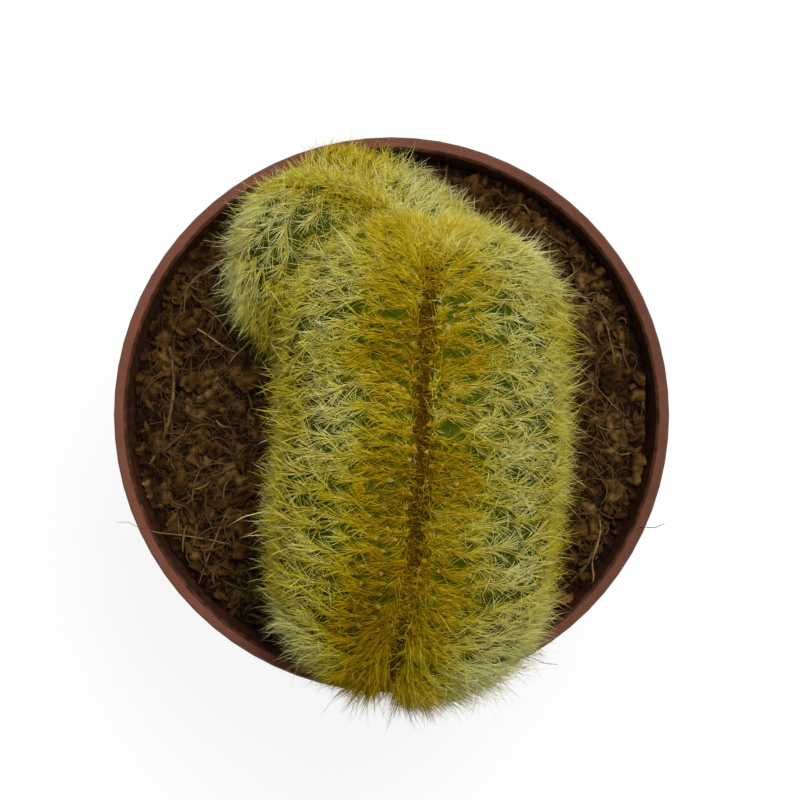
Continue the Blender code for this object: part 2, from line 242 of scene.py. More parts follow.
def crumb_material():
    """Peat brown to husk tan by each crumb's own shade, with painted shade darkening its hollows."""
    made, tree = new_material("coir_crumb", 0.92, 0.04)
    body = colour_ramp(
        tree, painted(tree, "shade"),
        (0.0, (0.026, 0.011, 0.003)), (0.35, (0.100, 0.045, 0.009)), (0.7, (0.165, 0.080, 0.018)),
        (1.0, (0.240, 0.130, 0.038)),
    )
    # The grain number darkens towards near-black: painted shade in hollows, dents and gaps.
    colour = mix_colours(tree, painted(tree, "grain"), (0.012, 0.006, 0.003), body)
    return finished(made, colour, (3600, 2.5, 0.25 * MM))


def mix_material():
    made, tree = new_material("potting_mix", 0.95, 0.04)
    colour = mix_colours(tree, mottle(tree, 900, 4.0), (0.008, 0.004, 0.002), (0.045, 0.023, 0.009))
    return finished(made, colour, (1100, 3.0, 0.9 * MM))


mix_node.data.materials[0] = mix_material()
CRUMB = crumb_material()


def new_object(name, data):
    """An object in the scene that shows this data."""
    made = bpy.data.objects.new(name, data)
    bpy.context.scene.collection.objects.link(made)
    return made


def mesh_piece(name, corners, faces, material, values=None, baked_uv=None, slot=None):
    """A mesh piece from arrays. values are numbers by name and baked_uv is (u, v), at every corner.

    One with a slot belongs to the plant and its pot, which are a single body.
    """
    mesh = bpy.data.meshes.new(name)
    corners, faces = np.asarray(corners, np.float32), np.asarray(faces, np.int32)
    loops = faces.reshape(-1)
    mesh.vertices.add(len(corners))
    mesh.vertices.foreach_set("co", corners.reshape(-1))
    mesh.loops.add(len(loops))
    mesh.loops.foreach_set("vertex_index", loops)
    mesh.polygons.add(len(faces))
    mesh.polygons.foreach_set("loop_start", np.arange(0, len(loops), faces.shape[1], dtype=np.int32))
    mesh.update(calc_edges=True)
    for label, numbers in (values or {}).items():
        layer = mesh.attributes.new(label, "FLOAT", "POINT")
        layer.data.foreach_set("value", np.asarray(numbers, np.float32))
    if baked_uv is not None:
        layer = mesh.uv_layers.new(name="OFBake")
        layer.data.foreach_set("uv", np.asarray(baked_uv, np.float32)[loops].reshape(-1))
    mesh.shade_smooth()
    mesh.materials.append(material)
    piece = new_object(name, mesh)
    if slot:
        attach(piece, "root")
    return piece


LEAST, MOST = 0.02, 0.98  # a painted number's limits, clear of the edges of the baked colours


def loose_piece(name, corners, faces, material, shades, grain_and_hollow_shades, slot, baked_grain_and_hollow_shades=None):
    """A piece of the mix, painted with a shade and a grain at every corner, which place its bake too."""
    # The grain numbers hold painted shade in hollows, besides grain.
    baked = np.stack([shades, grain_and_hollow_shades if baked_grain_and_hollow_shades is None else baked_grain_and_hollow_shades], 1)
    return mesh_piece(name, corners, faces, material, {"shade": shades, "grain": grain_and_hollow_shades}, baked, slot)


def unit_ball(level):
    """Corners and triangles of a ball made from an icosahedron."""
    made = bpy.data.meshes.new("ball")
    bm = bmesh.new()
    bmesh.ops.create_icosphere(bm, subdivisions=level, radius=1)
    bm.to_mesh(made)
    bm.free()
    corners = np.array([vertex.co for vertex in made.vertices])
    faces = np.array([face.vertices for face in made.polygons])
    bpy.data.meshes.remove(made)
    return corners, faces


def wobble(place):
    """A push that changes smoothly with the place, from -1 to 1 along each axis."""
    return Vector([noise.noise(place + Vector((shift, 0, 0))) for shift in (9.3, 41.7, 77.1)])


CLODS = ((2.4 * MM, 0.55), (1.4 * MM, 0.45))  # the width and the share of each size of clod
BED_LIFT = 1.5 * MM
WALL_BAND = 4 * MM  # the strip along the wall where the bed is higher, and darker as painted shade


def by_wall(reach):
    """1 at the pot's wall, falling to 0 at the inner edge of the strip along it."""
    return max(0.0, 1 - (WALL_RADIUS - reach) / WALL_BAND)


def crumbly_bed(name, cell):
    """The top of the mix: clods of every size grown together, with deep gaps between them."""
    ground = surface_of(mix_node)
    steps = np.arange(-WALL_RADIUS, WALL_RADIUS, cell)
    numbers, corners, shades, grain_and_hollow_shades = {}, [], [], []
    for i, x in enumerate(steps):
        for j, y in enumerate(steps):
            reach = math.hypot(x, y)
            if reach > WALL_RADIUS + 1.5 * cell:
                continue
            inwards = min(1, (WALL_RADIUS - 0.35 * MM) / max(reach, cell))
            hit = straight_down(ground, x * inwards, y * inwards)
            if hit is None or hit.z < DEEPEST_BED:
                continue
            place = hit + wobble(hit * 330) * 0.9 * MM
            height, shade = 0.0, 0.36 + 0.6 * noise.noise(hit * 120)
            for size, share in CLODS:
                (nearest, second, *_), centres = noise.voronoi(place / size)
                own = noise.cell(centres[0] * 5.3)
                height += size * share * (min(1, (second - nearest) * 1.6) ** 0.7 - 0.9 + 0.7 * own)
                shade += 0.65 * share * own
            height += 0.7 * MM * noise.fractal(hit * 1000, 0.9, 2.0, 3)
            heaped = by_wall(reach) * (0.5 + 0.5 * own + noise.noise(hit * 350)) * MM
            level = hit.z + height + BED_LIFT + heaped
            against = min(1, (inner_radius(level) - 0.15 * MM) / max(reach, cell))
            numbers[i, j] = len(corners)
            corners.append((x * against, y * against, level))
            # Painted shade: the bed darkens towards the pot's wall, in its shadow.
            shades.append(shade + 0.12 * noise.noise(hit * 1500) - 0.22 * by_wall(reach))
            # Painted shade: the lower the bed, the darker, in the gaps between clods.
            grain_and_hollow_shades.append(0.86 + height / (1.9 * MM))
    faces = []
    for i, j in numbers:
        square = [(i, j), (i + 1, j), (i + 1, j + 1), (i, j + 1)]
        if all(corner in numbers for corner in square):
            faces.append([numbers[corner] for corner in square])
    shades, grain_and_hollow_shades = np.clip(shades, LEAST, MOST), np.clip(grain_and_hollow_shades, 0.05, MOST)
    return loose_piece(name, corners, faces, CRUMB, shades, grain_and_hollow_shades, "mix")


bed = crumbly_bed("mix_bed", 0.42 * MM)


def heap_of_crumbs(name, count, sizes, level, seed, sink):
    """Loose lumps strewn over the bed. sink is how deep, in their own size, they may lie."""
    rng = np.random.default_rng(seed)
    ball, ball_faces = unit_ball(level)
    ground = surface_of(bed)
    corners, faces, shades, grain_and_hollow_shades = [], [], [], []
    while len(corners) < count:
        turn = rng.uniform(0, 2 * math.pi)
        reach = WALL_RADIUS * math.sqrt(rng.uniform(0.12, 1))
        size = sizes[0] + (sizes[1] - sizes[0]) * rng.random() ** 2.2
        if reach > WALL_RADIUS - 0.58 * size:
            continue
        hit = straight_down(ground, reach * math.cos(turn), reach * math.sin(turn))
        if hit is None or hit.z < DEEPEST_BED:
            continue
        knobs = rng.normal(size=(7, 3))
        knobs /= np.linalg.norm(knobs, axis=1)[:, None]
        facing = ball @ knobs.T
        radius = 1 + (0.42 * (facing > 0.72) * (facing - 0.72) * rng.uniform(-1, 1.3, 7) * 3).sum(1)
        radius += 0.10 * rng.normal(size=len(ball))
        squashed = np.array([1.5, rng.uniform(0.5, 0.9), rng.uniform(0.4, 0.8)])
        shape = ball * radius[:, None] * size / 2 * squashed
        spin = Matrix.Rotation(rng.uniform(0, 2 * math.pi), 3, "Z")
        spin = spin @ Matrix.Rotation(rng.normal() * 0.6, 3, "X")
        lift = size * rng.uniform(-sink, 0.45) + by_wall(reach) * rng.uniform(0, 2.6) * MM
        patch = 0.5 + 0.9 * noise.noise(Vector((hit.x, hit.y, 0)) * 120)
        corners.append(shape @ np.array(spin).T + np.array([hit.x, hit.y, hit.z + lift]))
        faces.append(ball_faces + len(ball) * len(faces))
        shade = 0.22 + 0.30 * patch + 0.15 * rng.normal() + 0.30 * (rng.random() < 0.04)
        shades.append(np.full(len(ball), np.clip(shade, LEAST, MOST)))
        # Painted shade in each crumb's dents, with a little random grain.
        grain_and_hollow_shades.append(np.clip(0.62 + 1.4 * (radius - radius.mean()) + 0.15 * rng.random(len(ball)), 0.05, 1))
    corners, faces, shades, grain_and_hollow_shades = (np.concatenate(part) for part in (corners, faces, shades, grain_and_hollow_shades))
    baked = np.clip(grain_and_hollow_shades + 0.004 * rng.random(len(grain_and_hollow_shades)), LEAST, MOST)
    return loose_piece(name, corners, faces, CRUMB, shades, grain_and_hollow_shades, "mix", baked)


fine_crumbs = heap_of_crumbs("mix_crumbs_fine", 1150, (0.7 * MM, 1.9 * MM), 2, 11, 0.6)
coarse_crumbs = heap_of_crumbs("mix_crumbs_coarse", 70, (1.6 * MM, 2.9 * MM), 3, 12, 0.7)


def strand_mesh(paths, widths, sides=3):
    """Tapered hairs of triangles that end in a point. Each path has the same number of points."""
    paths = np.asarray(paths)
    count, points = paths.shape[:2]
    along = np.gradient(paths, axis=1)
    along /= np.linalg.norm(along, axis=2)[..., None] + 1e-12
    helper = np.where(np.abs(along[:, :1, 2:]) > 0.9, [[[1.0, 0, 0]]], [[[0, 0, 1.0]]])
    across = np.cross(along, np.broadcast_to(helper, along.shape))
    across /= np.linalg.norm(across, axis=2)[..., None] + 1e-12
    third = np.cross(along, across)
    turns = 2 * np.pi * np.arange(sides) / sides
    ring = across[:, :, None] * np.cos(turns)[:, None] + third[:, :, None] * np.sin(turns)[:, None]
    rings = paths[:, :, None] + ring * np.asarray(widths)[:, :, None, None]
    corners = np.concatenate([rings[:, :-1].reshape(count, -1, 3), paths[:, -1:]], axis=1)
    pattern = []
    for step in range(points - 2):
        for here in range(sides):
            after, up = (here + 1) % sides, sides
            low = step * sides
            pattern.append((low + here, low + after, low + up + after))
            pattern.append((low + here, low + up + after, low + up + here))
    last, tip = (points - 2) * sides, (points - 1) * sides
    pattern += [(last + here, last + (here + 1) % sides, tip) for here in range(sides)]
    faces = np.array(pattern)[None] + (np.arange(count) * (tip + 1))[:, None, None]
    return corners.reshape(-1, 3), faces.reshape(-1, 3), tip + 1


def coir_material():
    made, tree = new_material("coir_hair", 0.75, 0.1)
    colour = mix_colours(tree, painted(tree, "shade"), (0.060, 0.028, 0.006), (0.34, 0.205, 0.070))
    return finished(made, mix_colours(tree, painted(tree, "grain"), (0.045, 0.025, 0.012), colour))


COIR = coir_material()


def coir_piece(name, paths, radii, shades, rng, sides=3):
    """Coir hairs along these routes, as one piece."""
    corners, faces, each = strand_mesh(paths, radii, sides)
    shades = np.repeat(np.clip(shades, LEAST, MOST), each)
    grain_and_hollow_shades = np.clip(0.75 + 0.25 * rng.random(len(corners)), 0, MOST)
    loose_piece(name, corners, faces, COIR, shades, grain_and_hollow_shades, "coir")


def eased(heights):
    """The same heights, each drawn halfway to the mean of its two neighbours."""
    padded = np.concatenate([heights[:1], heights, heights[-1:]])
    return (padded[:-2] + 2 * padded[1:-1] + padded[2:]) / 4


def lie_on(tree, route, radius, rng, arch):
    """Heights for a route over the crumbs: smoothed, a little arched and partly sunk."""
    hits = [straight_down(tree, x, y) for x, y in route]
    if None in hits:
        return None
    heights = np.array([hit.z for hit in hits])
    if heights.min() < MIX_TOP - 5 * MM:
        return None
    for _ in range(3):
        heights = eased(heights)
    waves = np.sin(np.linspace(0, math.pi, len(route))) * arch
    return heights + radius + waves + rng.uniform(-0.3, 0.5) * MM


def coir_hairs(name, count, lengths, widths, points, seed, sides=3, lumpy=0.0):
    """Curved hairs strewn over the crumbs. lumpy ones are shreds of pith, thick and thin by turns."""
    rng = np.random.default_rng(seed)
    paths, radii, shades = [], [], []
    while len(paths) < count:
        turn = rng.uniform(0, 2 * math.pi)
        reach = (WALL_RADIUS - 1.5 * MM) * math.sqrt(rng.uniform(0.15, 1))
        length, heading = rng.uniform(*lengths), rng.uniform(0, 2 * math.pi)
        bend, hook = rng.normal() * 1.8, rng.normal() * 1.2
        step = length / (points - 1)
        place = np.array([reach * math.cos(turn), reach * math.sin(turn)])
        route = []
        for share in np.linspace(0, 1, points):
            now = heading + bend * (share - 0.5) + hook * share**3 + 0.10 * rng.normal()
            place = place + step * np.array([math.cos(now), math.sin(now)])
            route.append(place)
        route = np.array(route)
        if np.linalg.norm(route, axis=1).max() > WALL_RADIUS - 0.5 * MM:
            continue
        radius = rng.uniform(*widths)
        heights = lie_on(heap, route, radius, rng, rng.uniform(0, 1.2) * MM)
        if heights is None:
            continue
        paths.append(np.column_stack([route, heights]))
        uneven = np.clip(1 + lumpy * rng.normal(size=points), 0.3, 1.8)
        radii.append(radius * (1 - 0.75 * np.abs(np.linspace(-1, 1, points)) ** 3) * uneven)
        shades.append(0.03 + 0.5 * rng.beta(1.5, 2.8 + 6 * lumpy))
    coir_piece(name, paths, radii, shades, rng, sides)


heap = surface_of(bed, fine_crumbs, coarse_crumbs)
coir_hairs("coir_shreds", 100, (3 * MM, 7 * MM), (0.12 * MM, 0.26 * MM), 6, 20, sides=5, lumpy=0.2)
coir_hairs("coir_hairs_fine", 1000, (4 * MM, 10 * MM), (0.04 * MM, 0.09 * MM), 7, 21)
coir_hairs("coir_hairs_medium", 190, (4 * MM, 11 * MM), (0.10 * MM, 0.19 * MM), 8, 22)
coir_hairs("coir_hairs_coarse", 18, (7 * MM, 14 * MM), (0.16 * MM, 0.24 * MM), 8, 23)


def long_strands(routes, seed):
    """Single long strands, each from one place to another with a sideways bow, all in millimetres."""
    rng = np.random.default_rng(seed)
    paths, radii, shades = [], [], []
    shares = np.linspace(0, 1, 14)
    for (x0, y0), (x1, y1), bow, radius, shade in routes:
        start, end = np.array([x0, y0]) * MM, np.array([x1, y1]) * MM
        across = np.array([start[1] - end[1], end[0] - start[0]])
        across /= np.linalg.norm(across)
        swing = np.sin(shares * math.pi) * bow * MM + np.sin(shares * 7 + bow) * 0.35 * MM
        route = start + (end - start) * shares[:, None] + across * swing[:, None]
        flat = np.hypot(route[:, 0], route[:, 1])
        heights = []
        for (x, y), reach in zip(route, flat):
            hit = straight_down(heap, x, y)
            over_lip = reach > WALL_RADIUS - 0.5 * MM or hit is None
            heights.append(LIP_TOP + 0.15 * MM if over_lip else hit.z)
        for _ in range(2):
            heights = np.maximum(heights, eased(heights))
        paths.append(np.column_stack([route, heights + radius * MM + 0.1 * MM]))
        radii.append(radius * MM * (1 - 0.6 * np.abs(2 * shares - 1) ** 4))
        shades.append(shade)
    coir_piece("coir_long_strands", paths, radii, shades, rng)


long_strands(
    [
        ((-45.5, -21.5), (-21, -25), -1.2, 0.22, 0.75),
        ((-36, -32), (-29, -16), 1.5, 0.17, 0.6),
        ((-43, -8), (-38, -26), 2.5, 0.14, 0.6),
        ((-29, 12), (-40, 19), 1.0, 0.24, 0.8),
        ((-31, 9), (-22, 17), 1.2, 0.20, 0.7),
        ((39.5, -20), (37.5, -32), 0.6, 0.26, 0.95),
        ((42, 6), (38, 22), -2.0, 0.16, 0.6),
        ((45, 0), (35, 12), 1.5, 0.16, 0.5),
        ((45.5, -22), (51.8, -20.8), 0.4, 0.09, 0.5),
        ((-46, -21), (-52.0, -20.0), 0.3, 0.06, 0.5),
        ((24.5, -46), (31.5, -47.5), 0.5, 0.08, 0.4),
    ],
    24,
)


# ---- Loose husk and coir -------------------------------------------------------------------
# Lumps of coconut husk and stiff coir strands, lying free on the mix. Each takes the place of
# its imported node, with the pitted skin of husk or the split, frayed skin of a strand.


def noise_at(places, scale):
    """Smooth noise at each of these places. scale is waves per metre."""
    return np.array([noise.noise(Vector(place) * scale) for place in places])


def rough_skin(label, packed, finish, slot, finer, scales, relief, hollow_shade_depth, patch_depth):
    """A packed lump or strand again, finer, with its pits and fibres raised along the grain."""
    piece = new_object(label + "_skin", packed.data.copy())
    joined = piece.modifiers.new("joined", "WELD")
    joined.merge_threshold = 0.01 * MM
    rough = piece.modifiers.new("finer", "SUBSURF")
    rough.levels = rough.render_levels = finer
    bpy.context.view_layer.update()
    fine = piece.evaluated_get(bpy.context.evaluated_depsgraph_get()).to_mesh()
    corners = np.array([vertex.co for vertex in fine.vertices])
    outwards = np.array([vertex.normal for vertex in fine.vertices])
    faces = [list(face.vertices) for face in fine.polygons]
    own = (sum(map(ord, label)) * 37 % 100) / 100
    along_grain = Matrix.Diagonal(scales) @ Matrix.Rotation(3 * own, 3, "Z")
    pits = np.array([noise.fractal(along_grain @ Vector(c), 0.6, 2.1, 4) for c in corners])
    patches = noise_at(corners, 420)
    bpy.data.objects.remove(piece)
    corners = corners + outwards * (pits * relief)[:, None]
    # Painted shade in the pits, darker the deeper they go.
    grain_and_hollow_shades = np.clip(0.68 + hollow_shade_depth * pits, LEAST, MOST)
    shades = np.clip(0.22 + 0.26 * own + patch_depth * patches, LEAST, MOST)
    values = {"shade": shades, "grain": grain_and_hollow_shades}
    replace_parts(mesh_piece(label + "_skin", corners, faces, finish, values, slot=slot), label)


for label, packed in sorted(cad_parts.items()):
    if label.startswith("husk_chip"):
        rough_skin(label, packed, CRUMB, "husk", 2, (330, 820, 820), 0.75 * MM, 1.1, 0.45)
    elif label.startswith("coir_fibre"):
        rough_skin(label, packed, COIR, "coir", 1, (1600, 1600, 1600), 0.1 * MM, 0.4, 0.1)


# ---- Large stem ----------------------------------------------------------------------------
# One living body, grown crested: instead of a point it grows from a line, the furrow along its
# top, and from there ribs of low warts run down both flanks. The skin is a waxy green, paler on
# the warts and by the young furrow, partly as painted light, and darker between the warts as
# painted shade. This is the imported shape again, with the ribs and warts that the solid leaves out.

OUTLINE_POWER = 2.3
SECTION_POWERS = (3.2, 2.4)

LARGE = {
    "centre": Vector((4.9, -8.2, 101)) * MM, "yaw": math.radians(-3.6), "tilt": 0.0,
    "half_length": 42.3 * MM, "half_thickness": 24.4 * MM, "rise": 33 * MM, "drop": 28 * MM,
    "fan_height": -16 * MM, "furrow_depth": 1.9 * MM, "notch_depth": 4.5 * MM, "furrow_width": 2.4 * MM,
    "furrow_shift": 0.0, "swelling": 0.035, "squareness": (1.9, 0.8), "wander": 1.0, "short_side": 3.2 * MM,
}


def skin_material():
    made, tree = new_material("waxy_skin", 0.55, 0.015)
    # The deep green is painted shade between the warts and under the bristles; the pale green is partly
    # painted light on their crowns.
    deep = mix_colours(tree, mottle(tree, 160, 2.5), (0.020, 0.030, 0.001), (0.036, 0.050, 0.001))
    pale_and_lit = mix_colours(tree, mottle(tree, 1900, 3.0), (0.070, 0.105, 0.001), (0.225, 0.255, 0.006))
    green = mix_colours(tree, painted(tree, "pale_and_lit"), deep, pale_and_lit)
    woolly = mix_colours(tree, painted(tree, "wool"), green, (0.065, 0.032, 0.001))
    return finished(made, woolly, (3000, 1.5, 0.05 * MM))


WAXY_SKIN = skin_material()


def ramp_between(values, low, high):
    """0 below low, 1 above high, smooth between."""
    share = np.clip((values - low) / (high - low), 0, 1)
    return share * share * (3 - 2 * share)


def outline_share(stem, y, z):
    """How far out a point of the flank lies: 0 at its middle and 1 on the crest line."""
    height = np.where(z > 0, stem["rise"], stem["drop"])
    power = OUTLINE_POWER
    return (np.abs(y / stem["half_length"]) ** power + np.abs(z / height) ** power) ** (1 / power)


def rib_length(stem, turn):
    """From where the ribs fan out to the crest line, along the rib at this angle."""
    most = 2 * (stem["half_length"] + stem["rise"] + stem["drop"])
    short, long = np.zeros_like(turn), np.full_like(turn, most)
    for _ in range(26):
        middle = (short + long) / 2
        inside = outline_share(stem, middle * np.cos(turn), stem["fan_height"] + middle * np.sin(turn)) < 1
        short, long = np.where(inside, middle, short), np.where(inside, long, middle)
    return short


def clear_of_pot(points):
    """The same points, moved in where they would touch the lip or the pot's inner wall."""
    flat = np.hypot(points[..., 0], points[..., 1])
    over = np.clip(points[..., 2] - LIP_TOP - 0.3 * MM, 0, None)
    limit = inner_radius(np.minimum(points[..., 2], LIP_TOP)) - 0.35 * MM + 1.6 * over
    share = np.minimum(1, limit / np.maximum(flat, MM))
    return points * np.stack([share, share, np.ones_like(share)], -1)


def skin_point(stem, turn, share, side):
    """Points of the smooth skin. turn picks the rib, and share runs from 0 where the ribs meet to 1
    at the furrow.
    """
    turn, share = np.broadcast_arrays(np.asarray(turn, float), np.asarray(share, float))
    reach = np.sin(np.clip(share, 0, 1) * math.pi / 2)
    along = rib_length(stem, turn) * reach
    y, z = along * np.cos(turn), stem["fan_height"] + along * np.sin(turn)
    back, front = np.clip(np.cos(turn), 0, 1), np.clip(-np.cos(turn), 0, 1)
    power = SECTION_POWERS[0] + stem["squareness"][0] * back**2 + stem["squareness"][1] * front**2
    fullness = np.clip(1 - outline_share(stem, y, z) ** power, 0, 1) ** (1 / SECTION_POWERS[1])
    fullness = np.where(share >= 1, 0.0, fullness)
    swell = 1 + stem["swelling"] * reach * (np.sin(4 * turn + side) + 0.6 * np.sin(7 * turn - 2 * side))
    x = stem["half_thickness"] * fullness * swell
    along = along * (1 + 0.5 * stem["swelling"] * reach * np.sin(3 * turn + 0.6))
    depth = stem["furrow_depth"] + stem["notch_depth"] * front**3
    along = along - depth * np.exp(-((x / stem["furrow_width"]) ** 2))
    y, z = along * np.cos(turn), stem["fan_height"] + along * np.sin(turn)
    if side < 0:
        y = y + stem["short_side"] * np.clip(-np.cos(turn) - 0.3, 0, 1) * reach
    ahead = np.clip((-y - 18 * MM) / (22 * MM), 0, 1)
    wander = -0.2 * MM + 0.6 * MM * np.exp(-(((y + 6 * MM) / (10 * MM)) ** 2)) - 2.9 * MM * ahead**1.3
    x = side * x + (stem["wander"] * wander + stem["furrow_shift"]) * share**6
    turned = Matrix.Rotation(stem["yaw"], 4, "Z") @ Matrix.Rotation(stem["tilt"], 4, "Y")
    place = np.array(Matrix.Translation(stem["centre"]) @ turned)
    return clear_of_pot(np.stack([x, y, z], -1) @ place[:3, :3].T + place[:3, 3])


def skin_frame(stem, turn, share, side):
    """At points of the skin: the point, outwards, down the flank from the furrow, and along the crest."""
    turn, share = np.asarray(turn, float), np.clip(np.asarray(share, float), 0.03, 0.998)
    point = skin_point(stem, turn, share, side)
    nearer = skin_point(stem, turn, np.minimum(share + 0.012, 0.9995), side)
    down = skin_point(stem, turn, share - 0.012, side) - nearer
    along = skin_point(stem, turn + 0.02, share, side) - skin_point(stem, turn - 0.02, share, side)
    outwards = np.cross(down, along)
    outwards *= np.sign(((point - np.array(stem["centre"])) * outwards).sum(-1))[..., None]
    outwards, down = (v / (np.linalg.norm(v, axis=-1)[..., None] + 1e-15) for v in (outwards, down))
    return point, outwards, down, np.cross(outwards, down)


YOUNG_SPACING, OLD_SPACING = 1.65 * MM, 2.8 * MM
FIRST_AREOLE = 1.3 * MM  # from the furrow


def spacing_at(age):
    """Areoles crowd where they form, and growth spreads them on their way down the flank."""
    return YOUNG_SPACING + (OLD_SPACING - YOUNG_SPACING) * ramp_between(age, 3 * MM, 15 * MM)


def run_along(line):
    """The way to each point of a line from its first."""
    return np.concatenate([[0], np.cumsum(np.linalg.norm(np.diff(line, axis=0), axis=1))])


def areole_places(stem, ribs, keep_clear, seed):
    """Where the areoles sit: down every rib, staggered, thinned where ribs crowd.

    Gives their frames, their ages and their sides. The age is the way down the flank from the
    furrow, in metres. keep_clear says where none can grow.
    """
    rng = np.random.default_rng(seed)
    found = []
    for side in (-1, 1):
        for rib in range(ribs):
            turn = 2 * math.pi * (rib + 0.5 * (side > 0)) / ribs
            shares = np.linspace(0.9995, 0.08, 260)
            line = skin_point(stem, np.full_like(shares, turn), shares, side)
            run = run_along(line)
            age = FIRST_AREOLE + (rib % 2) * YOUNG_SPACING / 2 + abs(rng.normal()) * 0.35 * MM
            while age < run[-1]:
                found.append((age, turn + rng.normal() * 0.010, np.interp(age, run, shares), side))
                age += spacing_at(age) * (1 + 0.08 * rng.normal())
    found.sort()
    ages, turns, shares, sides = (np.array(column) for column in zip(*found))
    frames = [np.zeros((len(ages), 3)) for _ in range(4)]
    for side in (-1, 1):
        own = sides == side
        for whole, part in zip(frames, skin_frame(stem, turns[own], shares[own], side)):
            whole[own] = part
    closest = 0.82 * spacing_at(ages)
    chosen = []
    for i, point in enumerate(frames[0]):
        near = frames[0][chosen]
        if len(chosen) and (((near - point) ** 2).sum(1) < closest[i] ** 2).any():
            continue
        if not keep_clear(point):
            chosen.append(i)
    return [part[chosen] for part in frames], ages[chosen], sides[chosen]


BELOW_LEVEL = 0.35  # how far below level, in radians, the finely made ribs go on
BURIED_RIBS = 24
WART_HEIGHT = 0.75 * MM


def skin_mesh(stem, name, ribs, rings, points, ages):
    """The skin with a wart under every areole. Its ribs and rings are closest near the furrow."""
    shown = np.linspace(-BELOW_LEVEL, math.pi + BELOW_LEVEL, ribs - BURIED_RIBS, endpoint=False)
    hidden = np.linspace(math.pi + BELOW_LEVEL, 2 * math.pi - BELOW_LEVEL, BURIED_RIBS, endpoint=False)
    turns = np.concatenate([shown, hidden])
    shares = 1 - (1 - np.linspace(0.0, 1, rings)) ** 1.35
    grid = [skin_point(stem, turns[None, :], shares[:, None], side) for side in (-1, 1)]
    corners = np.concatenate([grid[0].reshape(-1, 3), grid[1][:-1].reshape(-1, 3)])
    here, ring = np.arange(ribs), np.arange(rings - 1)[:, None]
    after = (here + 1) % ribs
    low, high = ring * ribs, (ring + 1) * ribs
    first = np.stack(np.broadcast_arrays(low + here, high + here, high + after, low + after), -1)
    low, high = rings * ribs + low, rings * ribs + high
    high[-1] = (rings - 1) * ribs
    second = np.stack(np.broadcast_arrays(low + after, high + after, high + here, low + here), -1)
    faces = np.concatenate([first.reshape(-1, 4), second.reshape(-1, 4)])
    tree = kdtree.KDTree(len(points))
    for i, point in enumerate(points):
        tree.insert(point, i)
    tree.balance()
    nearest = [tree.find(corner) for corner in corners]
    age = ages[[index for _, index, _ in nearest]]
    crown = np.exp(-((np.array([gap for _, _, gap in nearest]) / (0.40 * spacing_at(age))) ** 2))
    smooth = bpy.data.meshes.new("smooth")
    smooth.from_pydata(corners.tolist(), [], faces.tolist())
    smooth.update()
    outwards = np.array([vertex.normal for vertex in smooth.vertices])
    bpy.data.meshes.remove(smooth)
    if ((corners - np.array(stem["centre"])) * outwards).sum() < 0:
        outwards, faces = -outwards, faces[:, ::-1]
    bare = ramp_between(corners[:, 2], MIX_TOP - 1.5 * MM, MIX_TOP + 2 * MM)
    corners = corners + outwards * ((crown - 0.45) * bare * WART_HEIGHT)[:, None]
    # Paler where the skin is young and, as painted light, on the crowns of the warts; darker between them,
    # as painted shade.
    pale_and_lit = crown * (0.30 + 0.25 * np.exp(-age / (8 * MM))) + 0.35 * np.exp(-age / (5 * MM))
    wool = np.exp(-((np.repeat(1 - shares, ribs) / 0.014) ** 2))
    values = {"pale_and_lit": pale_and_lit, "wool": np.concatenate([wool, wool[:-ribs]])}
    return mesh_piece(name, clear_of_pot(corners), faces, WAXY_SKIN, values, slot="stem")


def under_mix(point):
    """True for a place that the potting mix covers, or that is pressed on the pot."""
    x, y, z = point
    on_pot = z < LIP_TOP + 1.5 * MM and math.hypot(x, y) > inner_radius(min(z, LIP_TOP)) - 1.0 * MM
    return z < MIX_TOP - 1.5 * MM or on_pot


large_frames, large_ages, large_sides = areole_places(LARGE, 150, under_mix, 31)
large_skin = skin_mesh(LARGE, "large_stem", 236, 54, large_frames[0], large_ages)
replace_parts(large_skin, "main_crest")


# ---- Small stem ----------------------------------------------------------------------------
# A second, lower crest of the same plant behind the large one. It leans back on the lip of the
# pot and presses on the large stem, so nothing grows where they touch.

SMALL = {
    "centre": Vector((-5.6, 28.2, 86)) * MM, "yaw": math.radians(-125), "tilt": math.radians(-40),
    "half_length": 22.5 * MM, "half_thickness": 21 * MM, "rise": 16.5 * MM, "drop": 16 * MM,
    "fan_height": -8 * MM, "furrow_depth": 1.8 * MM, "notch_depth": 3.0 * MM, "furrow_width": 2.6 * MM,
    "furrow_shift": -3.5 * MM, "swelling": 0.04, "squareness": (0.0, 0.0), "wander": 0.0, "short_side": 0.0,
}

large_surface = surface_of(large_skin)
STEM_GAP = 0.35 * MM


def height_above(tree, point):
    """Distance out of a closed surface, below 0 inside it."""
    surface, outwards, _, distance = tree.find_nearest(Vector(point))
    return math.copysign(distance, (Vector(point) - surface).dot(outwards))


def covered_small(point):
    return under_mix(point) or height_above(large_surface, point) < 1.2 * MM


small_frames, small_ages, small_sides = areole_places(SMALL, 72, covered_small, 32)
small_skin = skin_mesh(SMALL, "small_stem", 130, 40, small_frames[0], small_ages)
for vertex in small_skin.data.vertices:
    surface, outwards, _, distance = large_surface.find_nearest(vertex.co)
    if (vertex.co - surface).dot(outwards) < STEM_GAP and distance < 25 * MM:
        vertex.co = surface + outwards * STEM_GAP
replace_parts(small_skin, "rear_crest")


# ---- Areoles -------------------------------------------------------------------------------
# A small felted cushion on every wart, from which the bristles grow. Young ones by the furrow
# are thick with orange-brown wool, and old ones are thinner and cream.


def felt_material():
    made, tree = new_material("areole_felt", 0.95, 0.05)
    body = colour_ramp(
        tree, painted(tree, "tone"),
        (0.0, (0.56, 0.260, 0.004)), (0.4, (0.70, 0.50, 0.030)), (1.0, (0.76, 0.68, 0.25)),
    )
    wool = mix_colours(tree, mottle(tree, 5000, 2.0), (0.40, 0.24, 0.010), body)
    return finished(made, wool, (6000, 2.5, 0.2 * MM))


FELT = felt_material()


